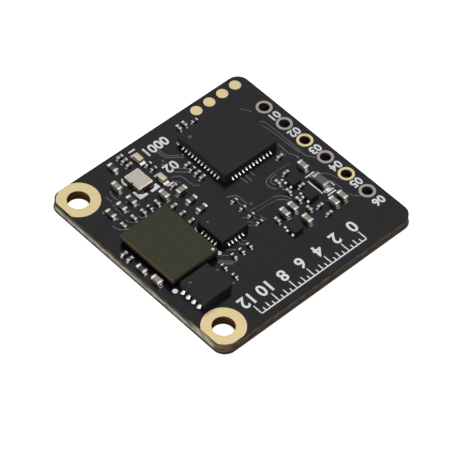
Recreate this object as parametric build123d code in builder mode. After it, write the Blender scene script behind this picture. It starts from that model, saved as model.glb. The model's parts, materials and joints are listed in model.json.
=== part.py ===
from build123d import *
import os

os.makedirs("parts", exist_ok=True)

# Microwave radar sensor module: a small square circuit board with a radar package that holds
# its own antennas, a processor, a memory chip, an interface chip, a timing crystal, three
# voltage regulators, two indicator lamps, a choke, and the chip capacitors and resistors.
# Millimetres, Z up. The origin is under the middle of the board, level with the lands that it
# lies on. X runs from the two mounting holes towards the row of header holes.

# Circuit board
board_length = 21.8
board_width = 21.6
board_thickness = 1.0
board_corner_radius = 1.1

# Copper that shows: lands stand a little proud of the board, joined by a barrel in each hole
land_thickness = 0.02
barrel_wall = 0.03
land_edge_clearance = 0.03

# Mounting holes for two small screws
mounting_hole_radius = 1.0
mounting_land_radius = 1.9
mounting_edge_inset = 1.66
mounting_side_inset = 1.85

# Header holes, one row at the standard pitch
header_hole_count = 6
header_pitch = 2.54
header_hole_radius = 0.5
header_land_radius = 0.74
header_edge_inset = 1.15

# Test pads in the corner by the header
test_pad_count = 4
test_pad_pitch = 1.524
test_pad_radius = 0.53
test_pad_edge_inset = 1.27
test_pad_side_inset = 0.89

# Radar package on its grid of solder balls
radar_x = -7.15
radar_y = -0.05
radar_length = 5.0
radar_width = 6.5
radar_body_height = 0.72
radar_side_distance = 0.88
ball_radius = 0.15
ball_height = 0.23
ball_facets = 6
ball_pitch = 0.5
ball_columns = 9
ball_rows = 12
patch_length = 1.15
patch_width = 1.8
patch_trace = 0.16
patch_relief = 0.015
patch_places = [(-1.5, 1.85), (-1.5, -1.6), (1.05, 0.85), (1.05, -1.5)]
pin_one_mark_radius = 0.13
pin_one_mark_height = 0.01
pin_one_mark_inset = 0.31

# Solder joints have a hollow face, which passes this share of the way out from its corner
solder_hollow = 0.3

# Leadless chips: body, leads round the underside and a ground pad in the middle. The rows of
# leads keep their space from the corners, and the pad keeps its gap from the leads.
lead_thickness = 0.2
dimple_depth = 0.03
dimple_inset = 0.75
small_dimple_inset = 0.58

processor_header_distance = 5.43
processor_y = 5.23
processor_size = 6.0
processor_height = 0.9
processor_side_distance = 1.12
processor_back_distance = 1.11
processor_front_distance = 1.0
back_resistor_step = 0.28
processor_lead_pitch = 0.4
processor_corner_space = 0.6
processor_pad_gap = 0.5
processor_dimple_radius = 0.2

interface_x = -2.28
interface_y = -1.36
interface_size = 3.0
interface_height = 0.8
interface_side_distance = 1.24
interface_front_distance = 1.35
interface_lead_pitch = 0.4
interface_corner_space = 0.5
interface_pad_gap = 0.275
interface_dimple_radius = 0.15

fine_lead_width = 0.2
fine_lead_length = 0.4
fine_solder_reach = 0.24
fine_solder_climb = 0.18

memory_x = -7.73
memory_size = 3.0
memory_height = 0.8
memory_lead_pitch = 0.65
memory_corner_space = 0.2
memory_lead_width = 0.3
memory_lead_length = 0.45
memory_pad_gap = 0.3
memory_solder_reach = 0.38
memory_dimple_radius = 0.15

regulator_size = 1.0
regulator_height = 0.42
regulator_lead_pitch = 0.65
regulator_corner_space = 0.05
regulator_lead_width = 0.22
regulator_lead_length = 0.22
regulator_lead_thickness = 0.12
regulator_pad_gap = 0.08
regulator_solder_reach = 0.16
regulator_solder_climb = 0.1

# Timing crystal in a ceramic case with a metal lid
crystal_x = -4.18
crystal_y = 7.06
crystal_length = 2.0
crystal_width = 1.6
crystal_base_height = 0.4
crystal_notch_radius = 0.12
seal_inset = 0.03
seal_corner_cut = 0.05
seal_thickness = 0.09
seal_ring_width = 0.27
lid_margin = 0.08
lid_corner_cut = 0.04
lid_thickness = 0.09
crystal_land_width = 0.45
crystal_solder_reach = 0.08
crystal_solder_climb = 0.1

# Indicator lamps
indicator_places = [(-2.47, 9.02), (-2.45, 6.05)]
indicator_angle = 90
indicator_length = 1.0
indicator_width = 0.55
indicator_base_height = 0.12
indicator_terminal_length = 0.14
indicator_lens_length = 0.92
indicator_lens_top_length = 0.84
indicator_lens_height = 0.29
indicator_solder_reach = 0.22
indicator_solder_climb = 0.06

# Chip parts: length, width and height, the end caps' length, and the solder's reach
choke_length = 1.6
choke_width = 0.8
choke_height = 0.5
choke_cap_length = 0.32

large_length = 1.02
large_capacitor_width = 0.55
large_resistor_width = 0.5
large_capacitor_height = 0.52
large_resistor_height = 0.35
large_cap_length = 0.25

small_length = 0.6
small_width = 0.3
small_capacitor_height = 0.3
small_resistor_height = 0.23
small_cap_length = 0.15

cap_step = 0.02
choke_solder_reach = 0.32
large_solder_reach = 0.15
small_solder_reach = 0.12
solder_climb_share = 0.55

# Columns of the power supply's parts, and of those behind and before the processor: how far
# each lies in from the header row
outer_capacitor_column = 2.16
choke_column = 2.31
front_capacitor_column = 3.02
inner_capacitor_column = 3.12
regulator_capacitor_column = 3.9
regulator_column = 4.04
output_capacitor_column = 4.26
small_capacitor_column = 5.15
back_resistor_column = 5.68
paired_capacitor_column = 6.16
back_capacitor_column = 6.61
single_capacitor_column = 7.1
far_back_capacitor_column = 7.26
far_regulator_column = 7.57
far_capacitor_column = 8.05

# Places worked out from the board's edges
mounting_x = -board_length / 2 + mounting_edge_inset
mounting_y = board_width / 2 - mounting_side_inset
mounting_places = [(mounting_x, mounting_y), (mounting_x, -mounting_y)]

header_x = board_length / 2 - header_edge_inset
header_top_y = header_pitch * (header_hole_count - 1) / 2
header_places = [(header_x, header_top_y - header_pitch * n) for n in range(header_hole_count)]

test_pad_x = board_length / 2 - test_pad_edge_inset
test_pad_y = board_width / 2 - test_pad_side_inset
test_pad_places = [(test_pad_x - test_pad_pitch * n, test_pad_y) for n in range(test_pad_count)]

# The processor and the power supply's parts stand in from the header row. The parts next to
# a chip keep their distance from its edges. The memory chip stands midway between the radar
# package and the land of the mounting hole.
processor_x = header_x - processor_header_distance
beside_processor = processor_x - processor_size / 2 - processor_side_distance
behind_processor = processor_y + processor_size / 2 + processor_back_distance
before_processor = processor_y - processor_size / 2 - processor_front_distance

beside_interface = interface_x + interface_size / 2 + interface_side_distance
before_interface = interface_y - interface_size / 2 - interface_front_distance

beside_radar = radar_x + radar_length / 2 + radar_side_distance
radar_front = radar_y - radar_width / 2
mounting_land_back = mounting_land_radius - mounting_y
memory_y = (radar_front + mounting_land_back) / 2

regulator_places = [
    (header_x - regulator_column, -1.50),
    (header_x - regulator_column, -3.61),
    (header_x - far_regulator_column, -5.42),
]
choke_place = (header_x - choke_column, -3.07, 90)

# Places of the chip parts on the board: X, Y and the angle of their long side from X
large_capacitor_places = [
    (header_x - choke_column, -0.87, 90),
    (header_x - single_capacitor_column, -3.65, 90),
    (header_x - paired_capacitor_column, -3.65, 90),
    (header_x - paired_capacitor_column, -5.40, 90),
    (header_x - inner_capacitor_column, -5.50, 90),
    (header_x - outer_capacitor_column, -5.50, 90),
    (-6.03, 7.76, 90),
    (-3.61, 4.48, 90),
    (-2.20, 3.88, 0),
    (-10.24, -2.00, 90),
]
large_resistor_places = [
    (-8.32, 5.90, 90),
    (-7.12, 5.90, 90),
    (-6.03, 5.90, 90),
    (-4.84, 9.61, 90),
    (-2.18, 2.61, 0),
    (-2.18, 1.35, 0),
    (-10.33, -0.22, 90),
]
small_capacitor_places = [
    (-8.34, 4.28, 90),
    (-7.15, 4.32, 90),
    (-6.12, 4.28, 90),
    (-4.58, 4.28, 90),
    (header_x - far_back_capacitor_column, behind_processor, 90),
    (header_x - back_capacitor_column, behind_processor, 90),
    (header_x - small_capacitor_column, -0.77, 90),
    (header_x - small_capacitor_column, -2.11, 90),
    (header_x - small_capacitor_column, -3.31, 90),
    (header_x - small_capacitor_column, -4.61, 90),
    (header_x - far_capacitor_column, -3.76, 90),
    (-3.55, 10.14, 0),
    (-3.55, 9.57, 0),
    (-3.55, 8.97, 0),
    (beside_processor, 5.74, 0),
    (beside_processor, 4.49, 0),
    (beside_processor, 3.86, 0),
    (-2.28, 4.73, 0),
    (beside_radar, 3.08, 0),
    (beside_radar, 2.00, 0),
    (beside_radar, 0.91, 0),
    (-10.35, 1.91, 0),
    (-10.35, 1.19, 0),
    (header_x - front_capacitor_column, before_processor, 0),
    (header_x - regulator_capacitor_column, -0.44, 0),
    (header_x - regulator_capacitor_column, -2.36, 0),
    (header_x - output_capacitor_column, -4.99, 0),
    (header_x - output_capacitor_column, -6.10, 0),
]
small_resistor_places = [
    (-5.38, 4.29, 90),
    (-3.68, before_interface, 90),
    (-2.81, before_interface, 90),
    (-1.94, before_interface, 90),
    (-5.07, -4.49, 90),
    (-5.07, -5.80, 90),
    (-2.24, 7.97, 0),
    (-2.24, 7.30, 0),
    (beside_processor, 5.12, 0),
    (beside_interface, 0.18, 0),
    (beside_interface, -0.87, 0),
    (beside_interface, -1.89, 0),
    (beside_interface, -2.92, 0),
    (header_x - back_resistor_column, behind_processor - back_resistor_step, 0),
]

board_floor = land_thickness
board_top = board_floor + board_thickness


def save(part, name):
    """Label a finished piece and write it under its own name."""
    part.label = name
    export_step(part, f"parts/{name}.step")


def land(place, radius, floor):
    """A round copper land, cut off just short of the board's edge."""
    with BuildPart() as copper:
        with BuildSketch(Plane.XY.offset(floor)):
            with Locations(place):
                Circle(radius)
            RectangleRounded(
                board_length - 2 * land_edge_clearance,
                board_width - 2 * land_edge_clearance,
                board_corner_radius - land_edge_clearance,
                mode=Mode.INTERSECT,
            )
        extrude(amount=land_thickness)
    return copper.part


with BuildPart() as circuit_board:
    with BuildSketch(Plane.XY.offset(board_floor)):
        RectangleRounded(board_length, board_width, board_corner_radius)
    extrude(amount=board_thickness)
    with Locations(*mounting_places):
        Hole(mounting_hole_radius + barrel_wall)
    with Locations(*header_places):
        Hole(header_hole_radius + barrel_wall)
save(circuit_board.part, "circuit_board")


def plated_hole(place, hole_radius, land_radius):
    """A copper barrel through the board, with a land at each end."""
    with BuildPart() as plating:
        with BuildSketch(Plane.XY.offset(board_floor)):
            with Locations(place):
                Circle(hole_radius + barrel_wall)
        extrude(amount=board_thickness)
        add(land(place, land_radius, board_top))
        add(land(place, land_radius, board_floor - land_thickness))
        with Locations(place):
            Hole(hole_radius)
    return plating.part


for number, place in enumerate(mounting_places, start=1):
    plating = plated_hole(place, mounting_hole_radius, mounting_land_radius)
    save(plating, f"mounting_hole_plating_{number}")

for number, place in enumerate(header_places, start=1):
    plating = plated_hole(place, header_hole_radius, header_land_radius)
    save(plating, f"header_hole_plating_{number}")

for number, place in enumerate(test_pad_places, start=1):
    save(land(place, test_pad_radius, board_top), f"test_pad_{number}")


# Radar package: a laminate block whose antennas show as shallow outlines on its top face
radar_seat = Plane((radar_x, radar_y, board_top))
radar_top = ball_height + radar_body_height

with BuildPart() as radar_package:
    with BuildSketch(radar_seat.offset(ball_height)):
        Rectangle(radar_length, radar_width)
    extrude(amount=radar_body_height)
    with BuildSketch(radar_seat.offset(radar_top)):
        with Locations(*patch_places):
            Rectangle(patch_length, patch_width)
            Rectangle(patch_length - 2 * patch_trace, patch_width - 2 * patch_trace, mode=Mode.SUBTRACT)
    extrude(amount=patch_relief)
save(radar_package.part, "radar_package")

with BuildPart() as radar_pin_one_mark:
    with BuildSketch(radar_seat.offset(radar_top)):
        with Locations((radar_length / 2 - pin_one_mark_inset, pin_one_mark_inset - radar_width / 2)):
            Circle(pin_one_mark_radius)
    extrude(amount=pin_one_mark_height)
save(radar_pin_one_mark.part, "radar_pin_one_mark")

# Only the outer ring of the ball grid carries solder
last_column = (ball_columns - 1) * ball_pitch / 2
last_row = (ball_rows - 1) * ball_pitch / 2

with BuildPart() as radar_solder_balls:
    with BuildSketch(radar_seat):
        with GridLocations(2 * last_column, ball_pitch, 2, ball_rows):
            RegularPolygon(ball_radius, ball_facets)
        with GridLocations(ball_pitch, 2 * last_row, ball_columns - 2, 2):
            RegularPolygon(ball_radius, ball_facets)
    extrude(amount=ball_height)
save(radar_solder_balls.part, "radar_solder_balls")


def solder_joint(width, reach, climb, hollow=True):
    """Solder that climbs an end face at X = 0 and runs out along its land."""
    corners = [(0, 0), (reach, 0), (0, climb)]
    if hollow:
        corners.insert(2, (reach * solder_hollow, climb * solder_hollow))
    with BuildPart() as joint:
        with BuildSketch(Plane.XZ):
            with BuildLine():
                Polyline(*corners, close=True)
            make_face()
        extrude(amount=width / 2, both=True)
    return joint.part


class LeadlessChip:
    """A moulded chip with flat leads along two or four sides of its underside."""

    def __init__(self, x, y, size, height, sides, pitch, corner_space, lead, pad_gap):
        self.seat = Plane((x, y, board_top))
        self.size = size
        self.height = height
        self.sides = sides
        self.pitch = pitch
        self.lead_length, self.lead_width, self.lead_thickness = lead
        self.leads = int((size - self.lead_width - 2 * corner_space) / pitch) + 1
        self.ground = size - 2 * (self.lead_length + pad_gap)

    def lead_outlines(self):
        """Outline of every lead, in the open sketch."""
        with PolarLocations(self.size / 2 - self.lead_length / 2, self.sides):
            with GridLocations(self.lead_length, self.pitch, 1, self.leads):
                Rectangle(self.lead_length, self.lead_width)

    def body_part(self, dimple=0, inset=0):
        """The moulding, with room for its leads and pad, and a dimple beside lead one."""
        with BuildPart() as body:
            with BuildSketch(self.seat):
                Rectangle(self.size, self.size)
            extrude(amount=self.height)
            with BuildSketch(self.seat):
                self.lead_outlines()
                Rectangle(self.ground, self.ground)
            extrude(amount=self.lead_thickness, mode=Mode.SUBTRACT)
            if dimple:
                with BuildSketch(self.seat.offset(self.height)):
                    with Locations((inset - self.size / 2, self.size / 2 - inset)):
                        Circle(dimple)
                extrude(amount=-dimple_depth, mode=Mode.SUBTRACT)
        return body.part

    def lead_part(self):
        """All leads, flush with the moulding's sides and underside."""
        with BuildPart() as leads:
            with BuildSketch(self.seat):
                self.lead_outlines()
            extrude(amount=self.lead_thickness)
        return leads.part

    def ground_part(self):
        """The metal pad under the middle of the chip."""
        with BuildPart() as ground:
            with BuildSketch(self.seat):
                Rectangle(self.ground, self.ground)
            extrude(amount=self.lead_thickness)
        return ground.part

    def solder_part(self, reach, climb):
        """One joint for each lead."""
        joint = solder_joint(self.lead_width, reach, climb, hollow=False)
        with BuildPart(self.seat) as solder:
            with PolarLocations(self.size / 2, self.sides):
                with GridLocations(self.lead_length, self.pitch, 1, self.leads):
                    add(joint)
        return solder.part


fine_lead = (fine_lead_length, fine_lead_width, lead_thickness)
processor = LeadlessChip(
    processor_x, processor_y, processor_size, processor_height, 4,
    processor_lead_pitch, processor_corner_space, fine_lead, processor_pad_gap,
)
save(processor.body_part(processor_dimple_radius, dimple_inset), "processor_body")
save(processor.lead_part(), "processor_leads")
save(processor.ground_part(), "processor_ground_pad")
save(processor.solder_part(fine_solder_reach, fine_solder_climb), "processor_solder")

interface_chip = LeadlessChip(
    interface_x, interface_y, interface_size, interface_height, 4,
    interface_lead_pitch, interface_corner_space, fine_lead, interface_pad_gap,
)
save(interface_chip.body_part(interface_dimple_radius, small_dimple_inset), "interface_chip_body")
save(interface_chip.lead_part(), "interface_chip_leads")
save(interface_chip.ground_part(), "interface_chip_ground_pad")
save(interface_chip.solder_part(fine_solder_reach, fine_solder_climb), "interface_chip_solder")

memory_lead = (memory_lead_length, memory_lead_width, lead_thickness)
memory_chip = LeadlessChip(
    memory_x, memory_y, memory_size, memory_height, 2,
    memory_lead_pitch, memory_corner_space, memory_lead, memory_pad_gap,
)
save(memory_chip.body_part(memory_dimple_radius, small_dimple_inset), "memory_chip_body")
save(memory_chip.lead_part(), "memory_chip_leads")
save(memory_chip.ground_part(), "memory_chip_ground_pad")
save(memory_chip.solder_part(memory_solder_reach, fine_solder_climb), "memory_chip_solder")

# Three voltage regulators of one kind
regulator_lead = (regulator_lead_length, regulator_lead_width, regulator_lead_thickness)
regulators = [
    LeadlessChip(
        x, y, regulator_size, regulator_height, 2,
        regulator_lead_pitch, regulator_corner_space, regulator_lead, regulator_pad_gap,
    )
    for x, y in regulator_places
]

for number, regulator in enumerate(regulators, start=1):
    save(regulator.body_part(), f"regulator_{number}_body")

with BuildPart() as regulator_leads:
    for regulator in regulators:
        add(regulator.lead_part())
        add(regulator.ground_part())
save(regulator_leads.part, "regulator_leads")

with BuildPart() as regulator_solder:
    for regulator in regulators:
        add(regulator.solder_part(regulator_solder_reach, regulator_solder_climb))
save(regulator_solder.part, "regulator_solder")


# Timing crystal: notched ceramic base, gilt sealing ring and lid
crystal_seat = Plane((crystal_x, crystal_y, board_top))
seal_floor = crystal_base_height
lid_floor = seal_floor + seal_thickness
seal_width = crystal_width - 2 * seal_inset
seal_length = crystal_length - 2 * seal_inset


def cut_corner_rectangle(width, length, corner):
    """A rectangle with its corners cut off, in the open sketch."""
    outline = Rectangle(width, length)
    chamfer(outline.vertices(), corner)


with BuildPart() as crystal_base:
    with BuildSketch(crystal_seat):
        Rectangle(crystal_width, crystal_length)
        with GridLocations(crystal_width, 0, 2, 1):
            Circle(crystal_notch_radius, mode=Mode.SUBTRACT)
    extrude(amount=crystal_base_height)
save(crystal_base.part, "crystal_base")

with BuildPart() as crystal_seal_ring:
    with BuildSketch(crystal_seat.offset(seal_floor)):
        cut_corner_rectangle(seal_width, seal_length, seal_corner_cut)
        Rectangle(seal_width - 2 * seal_ring_width, seal_length - 2 * seal_ring_width, mode=Mode.SUBTRACT)
        with GridLocations(crystal_width, 0, 2, 1):
            Circle(crystal_notch_radius, mode=Mode.SUBTRACT)
    extrude(amount=seal_thickness)
save(crystal_seal_ring.part, "crystal_seal_ring")

with BuildPart() as crystal_lid:
    with BuildSketch(crystal_seat.offset(lid_floor)):
        cut_corner_rectangle(seal_width - 2 * lid_margin, seal_length - 2 * lid_margin, lid_corner_cut)
    extrude(amount=lid_thickness)
save(crystal_lid.part, "crystal_lid")

crystal_joint = solder_joint(crystal_land_width, crystal_solder_reach, crystal_solder_climb)
crystal_joint_spacing = crystal_width - crystal_land_width
with BuildPart(crystal_seat) as crystal_solder:
    with PolarLocations(crystal_length / 2, 2, start_angle=90):
        with GridLocations(crystal_land_width, crystal_joint_spacing, 1, 2):
            add(crystal_joint)
save(crystal_solder.part, "crystal_solder")


def chip_locations(places):
    """Seats on the board's top face for the listed chip parts."""
    return [Location((x, y, board_top), (0, 0, angle)) for x, y, angle in places]


indicator_seats = chip_locations([(x, y, indicator_angle) for x, y in indicator_places])


class ChipPart:
    """A two-ended ceramic part: a block with a metal cap on each end."""

    def __init__(self, places, length, width, height, cap_length, solder_reach, hollow=True):
        self.seats = chip_locations(places)
        self.length = length
        self.width = width
        self.height = height
        self.cap_length = cap_length
        self.solder_reach = solder_reach
        self.hollow = hollow

    def at_every_seat(self, piece):
        """Copies of one piece, as separate solids of one node."""
        with BuildPart() as copies:
            with Locations(*self.seats):
                add(piece)
        return copies.part

    def bodies(self):
        """The ceramic blocks, a step below their caps on every side."""
        with BuildPart() as body:
            with BuildSketch(Plane.XY.offset(cap_step)):
                Rectangle(self.length - 2 * self.cap_length, self.width - 2 * cap_step)
            extrude(amount=self.height - 2 * cap_step)
        return self.at_every_seat(body.part)

    def end_caps(self):
        """The metal caps."""
        with BuildPart() as caps:
            with BuildSketch():
                with GridLocations(self.length - self.cap_length, 0, 2, 1):
                    Rectangle(self.cap_length, self.width)
            extrude(amount=self.height)
        return self.at_every_seat(caps.part)

    def solder(self):
        """A joint at each end."""
        joint = solder_joint(self.width, self.solder_reach, self.height * solder_climb_share, self.hollow)
        with BuildPart() as pair:
            with PolarLocations(self.length / 2, 2):
                add(joint)
        return self.at_every_seat(pair.part)


choke = ChipPart([choke_place], choke_length, choke_width, choke_height,
                 choke_cap_length, choke_solder_reach)
save(choke.bodies(), "choke_body")
save(choke.end_caps(), "choke_end_caps")
save(choke.solder(), "choke_solder")

large_capacitors = ChipPart(large_capacitor_places, large_length, large_capacitor_width,
                            large_capacitor_height, large_cap_length, large_solder_reach)
save(large_capacitors.bodies(), "large_capacitor_bodies")
save(large_capacitors.end_caps(), "large_capacitor_end_caps")
save(large_capacitors.solder(), "large_capacitor_solder")

large_resistors = ChipPart(large_resistor_places, large_length, large_resistor_width,
                           large_resistor_height, large_cap_length, large_solder_reach)
save(large_resistors.bodies(), "large_resistor_bodies")
save(large_resistors.end_caps(), "large_resistor_end_caps")
save(large_resistors.solder(), "large_resistor_solder")

small_capacitors = ChipPart(small_capacitor_places, small_length, small_width,
                            small_capacitor_height, small_cap_length, small_solder_reach,
                            hollow=False)
save(small_capacitors.bodies(), "small_capacitor_bodies")
save(small_capacitors.end_caps(), "small_capacitor_end_caps")
save(small_capacitors.solder(), "small_capacitor_solder")

small_resistors = ChipPart(small_resistor_places, small_length, small_width,
                           small_resistor_height, small_cap_length, small_solder_reach,
                           hollow=False)
save(small_resistors.bodies(), "small_resistor_bodies")
save(small_resistors.end_caps(), "small_resistor_end_caps")
save(small_resistors.solder(), "small_resistor_solder")


# Indicator lamps: a thin base with a terminal at each end, under a moulded lens
terminal_spacing = indicator_length - indicator_terminal_length
lens_top = indicator_base_height + indicator_lens_height

for number, seat in enumerate(indicator_seats, start=1):
    with BuildPart() as indicator_base:
        with BuildSketch(Plane(seat)):
            Rectangle(indicator_length - 2 * indicator_terminal_length, indicator_width)
        extrude(amount=indicator_base_height)
    save(indicator_base.part, f"indicator_{number}_base")

    with BuildPart() as indicator_lens:
        with BuildSketch(Plane(seat) * Plane.XZ):
            with BuildLine():
                Polyline(
                    (-indicator_lens_length / 2, indicator_base_height),
                    (indicator_lens_length / 2, indicator_base_height),
                    (indicator_lens_top_length / 2, lens_top),
                    (-indicator_lens_top_length / 2, lens_top),
                    close=True,
                )
            make_face()
        extrude(amount=indicator_width / 2, both=True)
    save(indicator_lens.part, f"indicator_{number}_lens")

with BuildPart() as indicator_terminals:
    for seat in indicator_seats:
        with BuildSketch(Plane(seat)):
            with GridLocations(terminal_spacing, 0, 2, 1):
                Rectangle(indicator_terminal_length, indicator_width)
        extrude(amount=indicator_base_height)
save(indicator_terminals.part, "indicator_terminals")

indicator_joint = solder_joint(indicator_width, indicator_solder_reach, indicator_solder_climb)
with BuildPart() as indicator_solder:
    with Locations(*indicator_seats):
        with PolarLocations(indicator_length / 2, 2):
            add(indicator_joint)
save(indicator_solder.part, "indicator_solder")
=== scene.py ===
# %% [markdown]
# # A microwave radar sensor module
#
# The object is a square circuit board the size of a large coin. It carries a radar chip with
# its own antennas, a processor, smaller chips and a crowd of tiny capacitors and resistors.
# The solid model is loaded first and fixes where everything is. What is made here gives the
# solids their finish, rounds the parts that are too small to round in the solid model, and
# adds the tracks and the white marks.

import json
import math

import bmesh
import bpy
from mathutils import Matrix, Vector


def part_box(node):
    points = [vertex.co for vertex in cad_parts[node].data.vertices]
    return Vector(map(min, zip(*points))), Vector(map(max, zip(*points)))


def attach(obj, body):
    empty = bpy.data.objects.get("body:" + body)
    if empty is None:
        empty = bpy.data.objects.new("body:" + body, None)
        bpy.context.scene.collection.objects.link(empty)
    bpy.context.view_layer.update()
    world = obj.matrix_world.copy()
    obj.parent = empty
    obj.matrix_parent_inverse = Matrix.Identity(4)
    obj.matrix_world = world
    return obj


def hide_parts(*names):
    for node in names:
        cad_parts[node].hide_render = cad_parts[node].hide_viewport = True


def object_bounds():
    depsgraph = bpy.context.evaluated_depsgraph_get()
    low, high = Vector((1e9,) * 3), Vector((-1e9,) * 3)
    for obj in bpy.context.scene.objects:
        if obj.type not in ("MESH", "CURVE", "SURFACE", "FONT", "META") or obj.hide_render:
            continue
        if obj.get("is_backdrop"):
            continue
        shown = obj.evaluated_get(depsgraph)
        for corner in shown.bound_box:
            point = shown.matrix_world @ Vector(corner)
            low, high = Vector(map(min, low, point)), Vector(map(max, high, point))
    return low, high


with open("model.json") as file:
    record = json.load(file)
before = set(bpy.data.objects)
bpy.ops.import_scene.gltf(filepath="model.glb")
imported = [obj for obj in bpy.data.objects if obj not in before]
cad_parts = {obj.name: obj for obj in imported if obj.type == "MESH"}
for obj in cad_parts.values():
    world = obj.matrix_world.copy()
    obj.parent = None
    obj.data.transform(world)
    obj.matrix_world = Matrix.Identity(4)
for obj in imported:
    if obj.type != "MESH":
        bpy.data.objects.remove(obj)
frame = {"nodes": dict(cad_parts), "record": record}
nodes = frame["nodes"]
cad_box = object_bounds()
mm = 0.001


def in_mm(lengths):
    """Lengths as rounded millimetres, to print."""
    return [round(length / mm, 3) for length in lengths]


print("solid model:", in_mm(cad_box[1] - cad_box[0]), "mm,", len(nodes), "nodes")

# %% [markdown]
# ## Heights
#
# Everything stands on the board's top face, so its height is read from the frame and never
# written as a number. The printed marks and the tracks are thinner than a hair.

# %% Heights read from the frame
board_low, board_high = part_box("circuit_board")
board_top = board_high.z
board_floor = board_low.z
ink_height = 0.008 * mm
track_height = 0.014 * mm
print("board top at", round(board_top / mm, 3), "mm")

# %% [markdown]
# ## The camera
#
# The photograph looks down on the board from the corner between its two nearest edges,
# through a long lens, so the edges hardly converge. The camera is given as the direction
# that it looks from, its distance and its lens, which a designer can read and change.

# %% Camera
def add_object(name, data):
    """An object in the scene, from its data."""
    made = bpy.data.objects.new(name, data)
    bpy.context.collection.objects.link(made)
    return made


photo_side = 465
focal_pixels = 2876.24
camera_azimuth = math.radians(-45.4271)
camera_elevation = math.radians(49.966)
camera_roll = math.radians(3.1566)
camera_distance = 239.5643 * mm
camera_target = Vector((-1.955 * mm, -2.1881 * mm, board_top))

back = Vector((
    math.sin(camera_azimuth) * math.cos(camera_elevation),
    -math.cos(camera_azimuth) * math.cos(camera_elevation),
    math.sin(camera_elevation),
))
level_right = Vector((math.cos(camera_azimuth), math.sin(camera_azimuth), 0))
level_up = back.cross(level_right)
right = math.cos(camera_roll) * level_right + math.sin(camera_roll) * level_up
up = -math.sin(camera_roll) * level_right + math.cos(camera_roll) * level_up
camera_axes = Matrix((right, up, back)).transposed().to_4x4()

camera_data = bpy.data.cameras.new("camera")
camera_data.sensor_width = 36
camera_data.lens = focal_pixels * camera_data.sensor_width / photo_side
camera_data.clip_start = 1 * mm
camera_data.clip_end = 10
camera = add_object("camera", camera_data)
camera.matrix_world = Matrix.Translation(camera_target + back * camera_distance) @ camera_axes
bpy.context.scene.camera = camera
print("lens", round(camera_data.lens, 1), "mm")

# %% [markdown]
# ## Nodes in plain code
#
# The light, every finish and every shape that repeats is a tree of nodes. Each node could be
# added and linked by hand, which takes many lines. A few helpers do that instead, and a small
# class lets the signs + - * / stand for Math nodes, so that a tree reads as a formula.

# %% What a node gives
class Value:
    """What a node gives. The signs + - * / ** on it add Math nodes."""

    def __init__(self, socket):
        self.socket = socket
        self.tree = socket.id_data

    def __add__(self, other):
        return calculate("ADD", self, other)

    def __radd__(self, other):
        return calculate("ADD", other, self)

    def __sub__(self, other):
        return calculate("SUBTRACT", self, other)

    def __rsub__(self, other):
        return calculate("SUBTRACT", other, self)

    def __mul__(self, other):
        return calculate("MULTIPLY", self, other)

    def __truediv__(self, other):
        return calculate("DIVIDE", self, other)

    def __pow__(self, other):
        return calculate("POWER", self, other)

    def __abs__(self):
        return calculate("ABSOLUTE", self)


# %% Helpers that add nodes
def feed(socket, value):
    """Fills a socket with a plain value, or with what another node gives."""
    if isinstance(value, Value):
        value.tree.links.new(value.socket, socket)
    elif socket.type == "RGBA":
        socket.default_value = (*value, 1)
    else:
        socket.default_value = value


def add_node(tree, kind, *values, **named):
    """A node with inputs filled in order, where None skips one, or by name.

    A name with a capital is an input, and one in lower case is a setting.
    """
    node = tree.nodes.new(kind)
    for label, setting in named.items():
        if label.islower():
            setattr(node, label, setting)
    for socket, value in zip(node.inputs, values):
        if value is not None:
            feed(socket, value)
    for label, value in named.items():
        if not label.islower():
            feed(node.inputs[label.replace("_", " ")], value)
    return node


def value_from(tree, kind, *values, output=0, **named):
    """What a new node gives at one of its outputs."""
    return Value(add_node(tree, kind, *values, **named).outputs[output])


def calculate(operation, *values):
    """One step of arithmetic, on vectors if the first value that a node gives is one."""
    first = [value for value in values if isinstance(value, Value)][0]
    if first.socket.type != "VECTOR":
        return value_from(first.tree, "ShaderNodeMath", *values, operation=operation)
    result = "Value" if operation == "LENGTH" else "Vector"
    return value_from(first.tree, "ShaderNodeVectorMath", *values, operation=operation, output=result)


def parts_of(vector):
    """The three numbers of a vector."""
    split = add_node(vector.tree, "ShaderNodeSeparateXYZ", vector)
    return [Value(part) for part in split.outputs]


def remap(value, start, end, low=0, high=1, smooth=False):
    """A number stretched from one range to another, and held at both ends."""
    kind = "SMOOTHSTEP" if smooth else "LINEAR"
    return value_from(value.tree, "ShaderNodeMapRange", value, start, end, low, high,
                      interpolation_type=kind)


# %% [markdown]
# ## Light
#
# The photograph is a plain catalogue picture: white paper below, one soft light overhead and
# dark surroundings to the sides. So the flat tops of the metal caps are bright, their upright
# ends are dark, and only the flat toe of each solder joint sparkles. The world shows white to
# the camera. To reflections it is white overhead and falls dark towards the horizon. Two
# soft lamps add the shadows: a low one at the side, which no metal mirrors, and one above.

# %% World
ambient_level = 0.25
mirrored_horizon = 0.04
mirrored_zenith = 1.1
dark_below = 0.38
bright_above = 0.62
seen_level = 1.0


def ray(tree, label):
    """1 for one kind of ray, such as those of the camera, and 0 for the others."""
    return value_from(tree, "ShaderNodeLightPath", output=label)


def mix(share, low, high):
    """A number between two others."""
    return value_from(share.tree, "ShaderNodeMix", share, None, low, high)


world = bpy.data.worlds.new("studio")
bpy.context.scene.world = world
world.use_nodes = True
sky = world.node_tree
sky.nodes.clear()
direction = value_from(sky, "ShaderNodeTexCoord", output="Generated")
zenith_share = remap(parts_of(direction)[2], dark_below, bright_above, smooth=True)
mirrored = mix(zenith_share, mirrored_horizon, mirrored_zenith)
on_object = mix(ray(sky, "Is Glossy Ray"), ambient_level, mirrored)
strength = mix(ray(sky, "Is Camera Ray"), on_object, seen_level)
background = value_from(sky, "ShaderNodeBackground", Strength=strength)
add_node(sky, "ShaderNodeOutputWorld", Surface=background)
print("world level on the object", ambient_level)

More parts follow.
